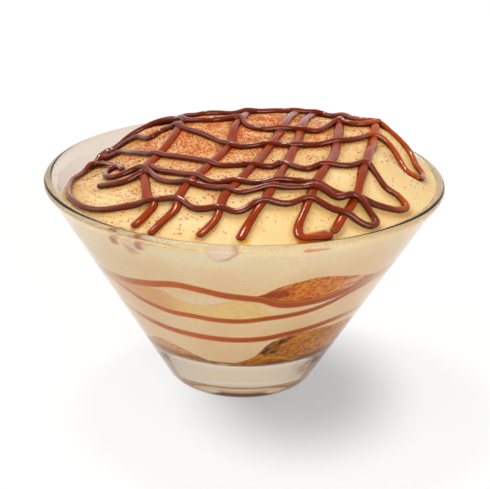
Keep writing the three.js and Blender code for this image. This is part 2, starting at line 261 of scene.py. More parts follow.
def mound(x, y):
    x = np.asarray(x, float)
    y = np.asarray(y, float)
    share = np.minimum(1, dome_share(x, y))
    contact = contact_at(np.arctan2(y, x))
    crown = DOME_HEIGHT + (DOME_LEAN[0] * x + DOME_LEAN[1] * y) / FOOD_REACH
    fall = np.maximum(0, 1 - share ** DOME_FLATNESS) ** DOME_SHOULDER
    calm = np.clip((inner_radius(GLASS_HEIGHT) - np.hypot(x, y)) / SWELL_MARGIN, 0, 1)
    turn = 2 * math.pi
    swayed = x / LUMPS["wide"] * turn + LUMPS["sway"] * np.sin(y / LUMPS["sway_length"] * turn)
    skewed = (y / LUMPS["deep"] + x / LUMPS["skew"]) * turn
    swell = LUMPS["height"] * np.sin(swayed) * np.cos(skewed)
    for centre_x, centre_y, spread, height in SWELLS:
        swell = swell + height * np.exp(-((x - centre_x) ** 2 + (y - centre_y) ** 2) / (2 * spread ** 2))
    return GLASS_HEIGHT + contact * share ** 2 + crown * fall + calm * swell


# Lines round the wall as (degrees, height), where -90 is the front; the back carries them on
BASE_TOP = smooth_line([
    (-155, 16.4), (-135, 19.5), (-125, 18.6), (-117, 16.9), (-109, 15.3), (-95, 14.6), (-90, 15.7),
    (-82, 18.2), (-76, 23.0), (-69, 25.1), (-58, 26.0), (-44, 25.8), (-34, 25.6), (0, 19), (50, 21),
    (100, 17), (150, 19.5)])
LOW_SAUCE = smooth_line([
    (-150, 27.4), (-138, 26.4), (-124, 25.3), (-112, 24.9), (-101, 24.6), (-86, 24.7), (-80, 25.0),
    (-69, 26.2), (-58, 27.2), (-46, 28.2), (-30, 28.4), (15, 26.2), (70, 27.4), (120, 25.6)])
MIDDLE_SAUCE = smooth_line([
    (-155, 38.5), (-147, 38.0), (-140, 36.2), (-134, 34.6), (-127, 33.4), (-120, 32.6), (-109, 32.5),
    (-100, 32.0), (-86, 32.3), (-81, 32.9), (-72, 33.5), (-63, 34.4), (-54, 36.2), (-48, 37.9),
    (-38, 39.8), (30, 35), (90, 37), (140, 34.5)])
MIDDLE_SPONGE = smooth_line([
    (-150, 39.4), (-137, 39.9), (-124, 40.2), (-118, 39.9), (-113, 38.0), (-105, 37.2), (-98, 38.4),
    (-91, 39.8), (-86, 38.9), (-80, 35.6), (-66, 35.2), (-48, 37.9), (-30, 38.5), (30, 37.5), (90, 39),
    (140, 38)])
HIGH_SAUCE = smooth_line([
    (-149, 39.6), (-137, 40.0), (-123, 41.9), (-111, 43.6), (-104, 42.9), (-96, 41.6), (-89, 40.9),
    (-83, 40.1), (-78, 38.4), (-72, 37.6), (-65, 37.7), (-55, 38.5), (-46, 40.3), (-38, 41.4), (-26, 42.0),
    (20, 40.5), (75, 42), (125, 41)])
HIGH_SPONGE = smooth_line([
    (-149, 39.8), (-123, 42.0), (-104, 43.2), (-89, 41.6), (-85, 41.6), (-83, 42.2), (-78, 44.5),
    (-71, 46.2), (-66, 46.9), (-54, 45.6), (-38, 42.6), (-28, 42.4), (20, 43), (75, 46), (125, 42.6)])


def wave_noise(x, y, z, size, seed):
    """Smooth noise from -1 to 1 for arrays of points, with lumps of about the given size."""
    shift = Vector((seed * 17.3, seed * 5.1, seed * 9.7))
    flat = np.broadcast_arrays(np.asarray(x, float), np.asarray(y, float), np.asarray(z, float))
    found = [noise.noise(Vector(point) / size + shift) for point in zip(*(part.ravel() for part in flat))]
    return np.array(found).reshape(flat[0].shape)


# Noise for the painters, as (size of its lumps, squeeze up the wall, seed)
GRAINS = {
    "cream": (9, 1, 1), "middle_crumb": (1.1, 1, 3), "high_crumb": (1.0, 1.6, 4), "high_patches": (4, 1, 5),
    "high_pores": (0.7, 1.5, 6), "base_crumb": (1.3, 1.8, 7), "base_streaks": (5, 3.5, 8),
    "base_pores": (0.9, 2, 9), "top": (8, 1, 14), "pocket": (1.6, 2, 16)}

# Noise in plan, as (size of its lumps, seed)
FLAT_GRAINS = {"waves": (5.5, 11), "ripples": (2.2, 12), "clumps": (5, 13), "specks": (0.9, 15)}

# Noise drawn out along the wall, as (degrees to a lump, squeeze up the wall, seed)
STREAKS = {"sauce": (9, 0.8, 2), "high_sponge": (12, 1.3, 10), "glass": (9, 0.7, 17)}

# Spans over which paint changes, by millimetres, degrees round the wall, noise or facing
SPANS = {
    "over_cream": (-1.5, 0.5), "to_back": (-30, -8), "to_right": (10, 35), "over_foot": (3.4, 4.2),
    "over_base": (FLOOR_TOP - 1.5, FLOOR_TOP + 0.5), "outer_face": (17, 18), "golden": (-124, -108),
    "deep_sauce": (-60, -10), "sauce_edge": (0.55, 1.0), "pore": (0.12, 0.42), "high_end": (-58, -44),
    "end_streak": (-0.3, 0.2), "soaked_pore": (0.15, 0.5), "past_left": (-104, -92),
    "left_crust": (15.2, 17), "over_dark": (14.5, 17.5), "dark_right": (-84, -74),
    "over_light": (13.9, 14.7), "top_side": (47, 54), "warm_side": (-72, -40),
    "beside_wall": (48.4, 49.2), "hollow_edge": (-98, -94), "red_block": (-72, -65),
    "crumb_top": (-2.2, -1.5), "off_strand": (0.8, 3.4), "loop": (30, 37), "facing_up": (-0.35, 0.75),
    "painted_highlight": (0.84, 0.98)}


def grain(points, kind):
    x, y, z = points.T
    size, squeeze, seed = GRAINS[kind]
    return wave_noise(x, y, z * squeeze, size, seed)


def flat_grain(x, y, kind):
    size, seed = FLAT_GRAINS[kind]
    return wave_noise(x, y, 0, size, seed)


def streaks(angles, z, kind):
    degrees, squeeze, seed = STREAKS[kind]
    return wave_noise(angles / degrees, z * squeeze, 0, 1, seed)


def blend(first, second, share):
    """Colours between two, with a share for each point."""
    share = np.clip(np.asarray(share, float), 0, 1)[..., None]
    return np.asarray(first) * (1 - share) + np.asarray(second) * share


def smooth_step(value, low, high):
    share = np.clip((value - low) / (high - low), 0, 1)
    return share * share * (3 - 2 * share)


def past(value, kind):
    """From 0 to 1 over one of the spans."""
    return smooth_step(value, *SPANS[kind])


def between(value, rise, fall):
    """From 0 to 1 over the first span, and back to 0 over the second."""
    return smooth_step(value, *rise) * (1 - smooth_step(value, *fall))


def band(value, middle, half):
    """1 at the middle of a line, down to 0 at half its width to either side."""
    return np.clip(1 - np.abs(value - middle) / half, 0, 1)


# Making objects

def add_object(name, data):
    made = bpy.data.objects.new(name, data)
    bpy.context.scene.collection.objects.link(made)
    return made


def add_paint(mesh, paint):
    layer = mesh.color_attributes.new("paint", "FLOAT_COLOR", "POINT")
    layer.data.foreach_set("color", np.asarray(paint, np.float32).reshape(-1))


def new_piece(name, vertices, faces, look, slot, replaces=(), paint=None, smooth=True):
    """A mesh in metres that rides on the body, with its finish and, if given, its painted colours."""
    mesh = bpy.data.meshes.new(name)
    mesh.from_pydata((np.asarray(vertices, float) * MM).tolist(), [], faces)
    mesh.validate()
    if smooth:
        mesh.shade_smooth()
    if paint is not None:
        add_paint(mesh, paint)
    piece = add_object(name, mesh)
    mesh.materials.append(look)
    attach(piece, "root")
    if replaces:
        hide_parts(*replaces)
    return piece


def ring_faces(rings, segments):
    """Quads between rings of points, and a fan from the ring at each end to a point."""
    faces = []
    last = 1 + rings * segments
    for ring in range(rings - 1):
        row = 1 + ring * segments
        for segment in range(segments):
            beside = (segment + 1) % segments
            faces.append((row + segment, row + beside, row + segments + beside, row + segments + segment))
    for segment in range(segments):
        faces.append((0, 1 + (segment + 1) % segments, 1 + segment))
    row = last - segments
    for segment in range(segments):
        faces.append((row + segment, row + (segment + 1) % segments, last))
    return faces


def corner(start, bend, end, steps):
    """Points of a curve through a corner."""
    points = []
    for step in range(steps + 1):
        share = step / steps
        points.append(tuple(
            start[axis] * (1 - share) ** 2 + 2 * bend[axis] * share * (1 - share) + end[axis] * share ** 2
            for axis in (0, 1)))
    return points


def wall_line(start, end, radius_at, bead):
    """Points up or down a face of the wall, with the bead that leads into the rim."""
    rim_z = max(start, end)
    points = []
    for step in range(1, WALL_STEPS):
        z = start + (end - start) * step / WALL_STEPS
        points.append((radius_at(z) + bead * smooth_step(z, rim_z - BEAD_REACH, rim_z), z))
    return points


def glass_profile():
    """Radius and height up the outside and down the inside, from axis to axis."""
    rim_base = GLASS_HEIGHT - RIM_ROUND
    rim_half = (RIM_RADIUS - inner_radius(rim_base)) / 2
    rim_middle = RIM_RADIUS - rim_half
    lean = math.atan(SLOPE * RIM_ROUND / rim_half)
    outer_end = (rim_middle + rim_half * math.cos(lean), rim_base - RIM_ROUND * math.sin(lean))
    inner_end = (rim_middle - rim_half * math.cos(lean), rim_base + RIM_ROUND * math.sin(lean))
    down = PUNT_CORNER / PUNT_DEPTH * (PUNT_RADIUS - PUNT_TOP_RADIUS)
    fillet_top = FLOOR_TOP + FLOOR_FILLET
    profile = [(0, PUNT_DEPTH)]
    profile += corner((PUNT_TOP_RADIUS - PUNT_CORNER, PUNT_DEPTH), (PUNT_TOP_RADIUS, PUNT_DEPTH),
                      (PUNT_TOP_RADIUS + down, PUNT_DEPTH - PUNT_CORNER), PUNT_CORNER_STEPS)
    profile += corner((PUNT_RADIUS, FOOT_CORNER), (PUNT_RADIUS, 0), (PUNT_RADIUS + FOOT_CORNER, 0),
                      FOOT_CORNER_STEPS)
    profile += corner((FOOT_RADIUS - HEEL_INSET, 0), (outer_radius(0), 0),
                      (outer_radius(HEEL_HEIGHT), HEEL_HEIGHT), HEEL_STEPS)
    profile += wall_line(HEEL_HEIGHT, outer_end[1], outer_radius, outer_end[0] - outer_radius(outer_end[1]))
    for step in range(RIM_STEPS + 1):
        angle = math.pi * step / RIM_STEPS - lean
        profile.append((rim_middle + rim_half * math.cos(angle), rim_base + RIM_ROUND * math.sin(angle)))
    profile += wall_line(inner_end[1], fillet_top, inner_radius, inner_end[0] - inner_radius(inner_end[1]))
    profile += corner((inner_radius(fillet_top), fillet_top), (inner_radius(FLOOR_TOP), FLOOR_TOP),
                      (inner_radius(FLOOR_TOP) - FLOOR_FILLET, FLOOR_TOP), FILLET_STEPS)
    return profile + [(0, FLOOR_TOP)]


def contact_at(angle):
    """Height over the rim, at the wall, of the cream in a direction."""
    tilted = -CONTACT_DROP - CONTACT_TILT * np.cos(angle - math.radians(LOWEST_AT))
    from_dip = (np.degrees(angle) - DIP["at"] + 180) % 360 - 180
    return np.minimum(-CONTACT_LEAST, tilted) - DIP["depth"] * np.exp(-(from_dip / DIP["spread"]) ** 2 / 2)


# Painted reflections in the glass's bottom: the sponge mirrored there, as degrees round it and heights, and
# a dark crescent in front
MIRRORED_RIGHT = ((-62, -44), (-14, 0))
MIRRORED_LEFT = ((-176, -166), (-158, -146))
MIRRORED_LEFT_SHARE = 0.35
MIRRORED_HEIGHTS = ((5.5, 9), (13.4, 14.2))
HEEL_REFLECTION = {"at": -88, "half_width": 34, "height": 3.6, "soft": 6}


def paint_glass(points):
    """Clear before the food, with painted reflections above it and in the bottom, dark where they mirror
    the sponge.
    """
    x, y, z = points.T
    angles = np.degrees(np.arctan2(y, x))
    # Painted reflection of the food above the cream, darker towards the back as painted shade
    rim = blend(FRONT_RIM_PAINTED_REFLECTION, BACK_RIM_REFLECTION_AND_SHADE, past(y, "to_back") * (1 - past(x, "to_right")))
    over_cream = z - GLASS_HEIGHT - contact_at(np.radians(angles))
    paint = blend(CLEAR, rim, past(over_cream, "over_cream"))
    # Painted reflections of the food in the foot and the base
    base = blend(FOOT_PAINTED_REFLECTION, BASE_PAINTED_REFLECTION, past(z, "over_foot"))
    paint = blend(base, paint, past(z, "over_base"))
    outer_face = past(np.hypot(x, y), "outer_face")
    # Painted reflection of the sponge, dark in the outer face of the bottom
    mirrored = between(angles, *MIRRORED_RIGHT) + MIRRORED_LEFT_SHARE * between(angles, *MIRRORED_LEFT)
    mirrored *= between(z, *MIRRORED_HEIGHTS) * np.clip(0.7 + 1.2 * streaks(angles, z, "glass"), 0.2, 1)
    paint = blend(paint, MIRRORED_PAINTED_REFLECTION, mirrored * outer_face)
    # Painted reflection of the food: a dark crescent low in the heel
    width = HEEL_REFLECTION["half_width"] * np.sqrt(np.clip(1 - z / HEEL_REFLECTION["height"], 0, 1))
    crescent_reflection = smooth_step(width - np.abs(angles - HEEL_REFLECTION["at"]), 0, HEEL_REFLECTION["soft"])
    return blend(paint, CRESCENT_PAINTED_REFLECTION, crescent_reflection * outer_face)


def make_glass(look):
    profile = glass_profile()
    turns = [2 * math.pi * segment / GLASS_SEGMENTS for segment in range(GLASS_SEGMENTS)]
    vertices = [(radius * math.cos(turn), radius * math.sin(turn), z)
                for radius, z in profile[1:-1] for turn in turns]
    vertices = np.array([(0, 0, profile[0][1]), *vertices, (0, 0, profile[-1][1])])
    faces = ring_faces(len(profile) - 2, GLASS_SEGMENTS)
    new_piece("glass_cup", vertices, faces, look, "glass", ["glass"], paint_glass(vertices))


ON_LOWER = -1.0
ON_UPPER = 2.0


def edge_radius(surface, angles, reach):
    """Distance from the axis at which a surface meets the food's side, found by halving."""
    near = np.zeros_like(angles)
    far = np.full_like(angles, RIM_RADIUS)
    for _ in range(HALVINGS):
        middle = (near + far) / 2
        z = surface(middle * np.cos(angles), middle * np.sin(angles))
        under = middle < inner_radius(z) + reach
        near = np.where(under, middle, near)
        far = np.where(under, far, middle)
    return near


def sheet_rings(surface, radius, angles, shares):
    """Rings of a face at shares of the way out to its edge."""
    rings = []
    for share in shares:
        x = share * radius * np.cos(angles)
        y = share * radius * np.sin(angles)
        rings.append(np.stack([x, y, surface(x, y)], -1))
    return rings


def layer_points(lower, upper, reach, side_rows, upper_rings):
    """Points of a closed layer, in rings out along the lower face, up the side and in along the upper face,
    each one's share of the way up the side, or ON_LOWER or ON_UPPER, and the count of rings."""
    angles = np.linspace(-math.pi, math.pi, FOOD_SEGMENTS, endpoint=False)
    low_radius = edge_radius(lower, angles, reach)
    high_radius = edge_radius(upper, angles, reach)
    *under, low_edge = sheet_rings(lower, low_radius, angles, np.linspace(0, 1, LAYER_RINGS + 1)[1:])
    high_edge, *over = sheet_rings(upper, high_radius, angles, np.linspace(1, 0, upper_rings + 1)[:-1])
    shares = [row / side_rows for row in range(side_rows + 1)]
    rings = under + [low_edge + (high_edge - low_edge) * share for share in shares] + over
    zero = np.zeros(1)
    start, end = [np.stack([zero, zero, surface(zero, zero)], -1) for surface in (lower, upper)]
    place = [ON_LOWER] * len(under) + shares + [ON_UPPER] * len(over)
    places = np.concatenate([[ON_LOWER], np.repeat(place, FOOD_SEGMENTS), [ON_UPPER]])
    return np.concatenate([start, *rings, end]), places, len(rings)


def make_layer(level, food, kind, lower, upper, upper_rings=LAYER_RINGS):
    """Each kind of layer is its slot, finish, painter, reach into the wall and rows up its side."""
    slot, look, painter, reach, side_rows = kind
    points, places, rings = layer_points(lower, upper, reach, side_rows, upper_rings)
    faces = ring_faces(rings, FOOD_SEGMENTS)
    angles = np.degrees(np.arctan2(points[:, 1], points[:, 0]))
    paint = painter(points, places, angles)
    new_piece(f"{level}_{food}", points, faces, look, slot, [f"{food}_{level}"], paint)


def inside(points, angles, outline, soft):
    """How far inside an outline of (degrees, height) round the wall each point lies, from 0 to 1."""
    scale = math.radians(1) * inner_radius(float(np.mean([turn[1] for turn in outline])))
    ring = np.array([(degrees * scale, height) for degrees, height in outline])
    at = np.stack([angles * scale, points[:, 2]], -1)
    apart = np.full(len(at), np.inf)
    within = np.zeros(len(at), bool)
    for start, end in zip(ring, np.roll(ring, -1, 0)):
        edge = end - start
        share = np.clip(((at - start) @ edge) / (edge @ edge), 0, 1)
        apart = np.minimum(apart, np.linalg.norm(at - start - share[:, None] * edge, axis=1))
        crosses = (start[1] > at[:, 1]) != (end[1] > at[:, 1])
        if edge[1]:
            crossing = start[0] + (at[:, 1] - start[1]) * edge[0] / edge[1]
            within ^= crosses & (at[:, 0] < crossing)
    return smooth_step(np.where(within, apart, -apart), -soft, soft)


# Crumbs along the cream's upper edge, as (degrees, half of their width in degrees)
CRUMBS_AT_RIM = [(-129.5, 1.9), (-120.5, 1.6)]

# Marks on the food beside the wall, as outlines of (degrees, height)
# The next outline bounds a painted shadow: a dark pocket in the soaked sponge
POCKET_SHADOW_OUTLINE = [(-82, 19.4), (-78, 22.4), (-70, 24.4), (-63, 25.2), (-67, 23.4), (-71, 22), (-70, 19.6),
                  (-76, 18)]
LENS_TIP = [(-84, 41.4), (-80, 43.2), (-75, 43.6), (-73, 41.6), (-77, 40.4)]
# The next three outlines bound air in hollows at the glass and a mark beside them, painted as light and
# shade
FRONT_HOLLOW = [(-101, 60), (-100, 57.7), (-99, 55.3), (-97, 54.1), (-94, 55), (-91, 57.6), (-90, 60.1)]
LEFT_HOLLOW = [(-123, 57.8), (-124, 55), (-121, 53.9), (-117, 55.9), (-115, 59.5), (-119, 60.5)]
LEFT_MARK = [(-126.4, 55.4), (-125.4, 52), (-121.5, 52.8), (-123, 54.2)]
BLOCK_OUTLINE = [(-74, 61), (-74.5, 58), (-72.5, 57), (-65.5, 57.3), (-64, 59), (-65, 61)]
WEDGE_OUTLINE = [(-91, 58.2), (-88.3, 58), (-87.8, 60.4), (-90.8, 60.4)]
# The next outline bounds a pool of painted light on the front of the cream's side
FRONT_LIGHT = [(-121, 56), (-112, 52.2), (-100, 51), (-92, 52), (-88, 55), (-96, 56.5), (-110, 57)]
LEAF_OUTLINE = [(-116, 39.2), (-110, 40.4), (-103, 40.6), (-96, 40.3), (-91, 39.6), (-94, 38.2),
                (-101, 37.6), (-108, 37.4), (-113, 38)]
LEFT_TAN = [(-150, 44), (-135, 43.5), (-124, 41.4), (-118, 40.4), (-124, 39.6), (-137, 39.2), (-150, 39)]


# Places of the painters' lines, in degrees round the wall or in millimetres
FRONT = -90
SAUCE_DEEPEST = -62
SAUCE_FADE = ((38, 62), (75, 100))
LINE_RISE = 0.25
LINE_HALF = 0.4
SHINE = {"z": 16.2, "wave": 0.9, "degrees": 4.2, "half": 0.55, "span": ((-84, -76), (-58, -50))}


# Painters give each point of a layer its colour

def paint_cream(points, places, angles):
    # Cream behind the glass, painted paler as painted light
    paint = blend(CREAM_WALL_PAINTED_LIGHT, CREAM_WALL_WARM_PAINTED_LIGHT, 0.6 + 0.5 * grain(points, "cream"))
    paint = blend(paint, TAN, 0.5 * inside(points, angles, LEFT_TAN, 1.2))
    return blend(paint, LEAF, 0.8 * inside(points, angles, LEAF_OUTLINE, 0.5))


def paint_sauce(points, places, angles):
    from_middle = np.abs(np.clip(places, 0, 1) - 0.5) * 2
    deep = past(-np.abs(angles - SAUCE_DEEPEST), "deep_sauce")
    paint = blend(SAUCE, SAUCE_DEEP, deep * 0.8 + 0.2 * streaks(angles, points[:, 2], "sauce"))
    paint = blend(paint, SAUCE_EDGE, 0.75 * past(from_middle, "sauce_edge"))
    return blend(paint, CREAM_WALL_WARM_PAINTED_LIGHT, 0.7 * between(np.abs(angles - FRONT), *SAUCE_FADE))


def paint_middle_sponge(points, places, angles):
    paint = blend(GOLDEN, TAN, 1 - past(angles, "golden"))
    return blend(paint, SPONGE, 0.05 + 0.1 * grain(points, "middle_crumb"))


def paint_high_sponge(points, places, angles):
    """Orange crumb with pores, dark at its left tip and foot, and streaked with cream at its right end."""
    z = points[:, 2]
    crumb = 0.9 * grain(points, "high_crumb") + 0.5 * grain(points, "high_patches")
    paint = blend(SPONGE, SPONGE_SPOT, 0.35 + crumb)
    paint = blend(paint, SPONGE_PORE, 0.85 * past(grain(points, "high_pores"), "pore"))
    paint = blend(paint, BLOCK_RED, 0.85 * inside(points, angles, LENS_TIP, 0.5))
    paint = blend(paint, SPONGE_PORE, 0.8 * band(z, HIGH_SAUCE(angles) + HIGH_HALF + LINE_RISE, LINE_HALF))
    end = past(angles, "high_end")
    streak = past(streaks(angles, z, "high_sponge"), "end_streak")
    return blend(paint, CREAM_WALL_WARM_PAINTED_LIGHT, end * streak)


def paint_base_sponge(points, places, angles):
    """Soaked crumb, tan at the left, darker below and at the right, with a lit line and a dark pocket of
    painted shadow.
    """
    z = points[:, 2]
    crumb = 0.8 * grain(points, "base_crumb") + 0.5 * grain(points, "base_streaks")
    paint = blend(SOAKED, SOAKED_LIT, 0.45 + crumb)
    paint = blend(paint, SOAKED_DARK, 0.7 * past(grain(points, "base_pores"), "soaked_pore"))
    left = 1 - past(angles, "past_left")
    paint = blend(paint, TAN, 0.55 * left * past(z, "left_crust"))
    dark = 0.4 + 0.35 * past(angles, "dark_right")
    paint = blend(paint, SOAKED_DARK, dark * (1 - past(z, "over_dark")))
    shine_z = SHINE["z"] + SHINE["wave"] * np.sin(angles / SHINE["degrees"])
    shine = band(z, shine_z, SHINE["half"]) * between(angles, *SHINE["span"])
    paint = blend(paint, SOAKED_LIT, 0.8 * shine)
    # Painted shadow in a dark pocket, broken up by noise
    broken = np.clip(0.75 + 0.9 * grain(points, "pocket"), 0, 1)
    paint = blend(paint, POCKET_PAINTED_SHADOW, broken * inside(points, angles, POCKET_SHADOW_OUTLINE, 0.5))
    return blend(paint, FOOD_FOOT, 0.8 * (1 - past(z, "over_light")))


# Finishes

# Relief, as (size of its grain, strength, depth)
FINE_BUMP = (0.8, 0.15, 0.2)
CREAM_BUMP = (1.6, 0.25, 0.25)
CHOCOLATE_BUMP = (1.8, 0.04, 0.1)
RELIEF_DETAIL = 3.0
MOTTLE_DETAIL = 4.0
MOTTLE_SPAN = (0.3, 0.7)


def finish(name, roughness, specular):
    look = bpy.data.materials.new(name)
    look.use_nodes = True
    shader = look.node_tree.nodes["Principled BSDF"]
    shader.inputs["Roughness"].default_value = roughness
    shader.inputs["Specular IOR Level"].default_value = specular
    return look, look.node_tree.nodes, look.node_tree.links, shader


def noise_node(nodes, links, size, detail):
    """Noise of the given size in millimetres, fixed to the object."""
    place = nodes.new("ShaderNodeTexCoord")
    made = nodes.new("ShaderNodeTexNoise")
    made.inputs["Scale"].default_value = 1 / (size * MM)
    made.inputs["Detail"].default_value = detail
    links.new(place.outputs["Object"], made.inputs["Vector"])
    return made


def map_range(nodes, links, source, span, levels=(0, 1)):
    """Takes a value from a span to levels, held at the ends."""
    made = nodes.new("ShaderNodeMapRange")
    made.inputs["From Min"].default_value, made.inputs["From Max"].default_value = span
    made.inputs["To Min"].default_value, made.inputs["To Max"].default_value = levels
    links.new(source, made.inputs["Value"])
    return made


def vector_node(nodes, links, operation, source):
    made = nodes.new("ShaderNodeVectorMath")
    made.operation = operation
    links.new(source, made.inputs[0])
    return made


def add_bump(nodes, links, shader, size, strength, distance):
    """Fine relief from noise of the given size in millimetres."""
    relief = noise_node(nodes, links, size, RELIEF_DETAIL)
    bump = nodes.new("ShaderNodeBump")
    bump.inputs["Strength"].default_value = strength
    bump.inputs["Distance"].default_value = distance * MM
    links.new(relief.outputs["Fac"], bump.inputs["Height"])
    links.new(bump.outputs["Normal"], shader.inputs["Normal"])


def paint_colour(nodes):
    paint = nodes.new("ShaderNodeVertexColor")
    paint.layer_name = "paint"
    return paint.outputs["Color"]


def painted(name, size=0.6, dark=0.93, light=1.05, bump=FINE_BUMP, roughness=0.8, specular=0.0):
    """A finish in the painted colour, made a little darker and lighter by noise, with fine relief."""
    look, nodes, links, shader = finish(name, roughness, specular)
    mottle = noise_node(nodes, links, size, MOTTLE_DETAIL)
    level = map_range(nodes, links, mottle.outputs["Fac"], MOTTLE_SPAN, (dark, light))
    scaled = vector_node(nodes, links, "SCALE", paint_colour(nodes))
    links.new(level.outputs["Result"], scaled.inputs["Scale"])
    links.new(scaled.outputs["Vector"], shader.inputs["Base Color"])
    add_bump(nodes, links, shader, *bump)
    return look


def glass_finish():
    look, nodes, links, shader = finish("clear_glass", roughness=0.0, specular=0.5)
    links.new(paint_colour(nodes), shader.inputs["Base Color"])
    shader.inputs["Transmission Weight"].default_value = 1.0
    shader.inputs["Specular Tint"].default_value = GLASS_SPECULAR_TINT
    shader.inputs["IOR"].default_value = 1.5
    return look


# Cream top, with its stains, the marks beside the wall, and painted light and shade of air in hollows there

# Waves of the cream's face, as (kind of noise, height), which die out at the wall
FACE_WAVES = [("waves", 0.16), ("ripples", 0.06)]
CALM_EDGE = 4

# Cocoa, as (share, middle x, middle y, spread in x, spread in y), most of it behind the middle
COCOA_PATCHES = [(1.5, -8, 14, 17, 17), (0.5, 24, 8, 9, 8), (0.3, -14, -24, 19, 12)]

# Shade beside the drizzle, which lies a little in front of it
SHADE_SHIFT = 0.7


def cream_top_surface(x, y):
    waves = sum(height * flat_grain(x, y, kind) for kind, height in FACE_WAVES)
    calm = np.clip((inner_radius(GLASS_HEIGHT) - np.hypot(x, y)) / CALM_EDGE, 0, 1)
    return mound(x, y) + waves * calm


def cocoa_density(x, y):
    """How thick the cocoa lies, from 0 to 1."""
    dust = sum(share * np.exp(-(x - at_x) ** 2 / (2 * wide ** 2) - (y - at_y) ** 2 / (2 * deep ** 2))
               for share, at_x, at_y, wide, deep in COCOA_PATCHES)
    clumps = 0.6 + 0.9 * flat_grain(x, y, "clumps")
    return np.clip(dust, 0, 1) * np.clip(clumps, 0, 1.3)


def beside_strands(points, laid):
    """How close each point lies to a stroke of the drizzle, from 0 to 1, most on its front side."""
    path = np.concatenate([centre for centre, _ in laid])
    tree = kdtree.KDTree(len(path))
    for index, (x, y, _) in enumerate(path):
        tree.insert((x, y, 0), index)
    tree.balance()
    apart = np.array([tree.find((x, y + SHADE_SHIFT, 0))[2] for x, y, _ in points])
    return 1 - past(apart, "off_strand")


def paint_top(points, places, angles, laid):
    x, y, z = points.T
    wall = (places >= 0) & (places <= 1)
    mottle = grain(points, "top")
    specks = np.clip(0.5 + 0.8 * flat_grain(x, y, "specks"), 0, 1)
    top = blend(CREAM, CREAM_WARM, 0.4 + 0.6 * mottle)
    top = blend(top, STRAND_SHADE, 0.5 * beside_strands(points, laid))
    top = blend(top, COCOA_STAIN, np.clip(cocoa_density(x, y), 0, 1) * (0.45 + 0.45 * specks))
    # The cream's side behind the glass, painted paler as painted light
    side = blend(CREAM_WALL_PAINTED_LIGHT, CREAM_WALL_WARM_PAINTED_LIGHT, 0.5 + 0.4 * mottle - 0.5 * past(z, "top_side"))
    side = blend(side, CREAM_WALL_WARM_PAINTED_LIGHT, 0.6 * past(angles, "warm_side"))
    # A pool of painted light on the front of the cream's side
    side = blend(side, CREAM_FRONT_PAINTED_LIGHT, 0.9 * inside(points, angles, FRONT_LIGHT, 1.2))
    paint = paint_air_gap_light(np.where(wall[:, None], side, top), points, angles, wall * 1.0)
    return paint_rim_marks(paint, points, angles, past(np.hypot(x, y), "beside_wall"))


def paint_air_gap_light(paint, points, angles, wall):
    """Air in hollows where the cream meets the glass, painted as pale light, grey shade and dark outlines.
    """
    front = inside(points, angles, FRONT_HOLLOW, 0.8) * wall
    edge = 4 * front * (1 - front)
    paint = blend(paint, AIR_GAP_PAINTED_LIGHT, 0.7 * front)
    paint = blend(paint, AIR_GAP_PAINTED_OUTLINE, edge * (0.2 + 0.35 * past(angles, "hollow_edge")))
    paint = blend(paint, AIR_GAP_PAINTED_SHADE, 0.75 * inside(points, angles, LEFT_HOLLOW, 0.9) * wall)
    return blend(paint, AIR_GAP_PAINTED_OUTLINE, 0.6 * inside(points, angles, LEFT_MARK, 1.0) * wall)


def paint_rim_marks(paint, points, angles, beside_wall):
    """A dry block of drizzle, a golden wedge and crumbs along the cream's upper edge."""
    tone = blend(BLOCK_ORANGE, BLOCK_RED, past(angles, "red_block"))
    paint = blend(paint, tone, 0.95 * inside(points, angles, BLOCK_OUTLINE, 0.35) * beside_wall)
    paint = blend(paint, SOAKED_LIT, 0.8 * inside(points, angles, WEDGE_OUTLINE, 0.35) * beside_wall)
    over_cream = points[:, 2] - GLASS_HEIGHT - contact_at(np.radians(angles))
    for at, half_width in CRUMBS_AT_RIM:
        crumb = 1 - smooth_step(np.abs(angles - at), 0.5 * half_width, half_width)
        crumb *= past(over_cream, "crumb_top")
        paint = blend(paint, SOAKED, 0.85 * crumb * beside_wall)
    return paint


# Drizzle: the strokes' plans as in the solid
SLANTS = [
    [(-14, 38), (-17, 26), (-19, 12.5), (-22.5, 0.5), (-27, -10), (-26, -20.5), (-25, -28.5), (-23, -33),
     (-25, -36), (-28.5, -39.5)],
    [(2, 43), (0, 28), (-3, 10), (-4, -0.5), (-6.5, -9), (-11.5, -20), (-16.5, -31), (-17.5, -37),
     (-21, -40.5), (-24, -44)],
    [(18, 44), (13.5, 28), (10.5, 12), (7.5, -2), (3, -16.5), (-2, -29), (-5, -34.5), (-7, -43),
     (-11.5, -48)],
    [(24, 40), (18.5, 28), (15.5, 10), (14, -2), (10, -21.5), (6, -36), (1, -45.5), (-1, -50)],
    [(31, 38), (27.5, 26), (25.5, 4), (23, -15.5), (19, -28), (16, -38.5), (13.8, -46), (14.5, -48.3),
     (18, -47.5), (23, -46.5)],
    [(38, 28), (36.3, 14), (35, 2), (33, -10), (31, -21), (29.5, -29.5), (27.5, -35.5), (25, -40),
     (22.5, -46)],
]
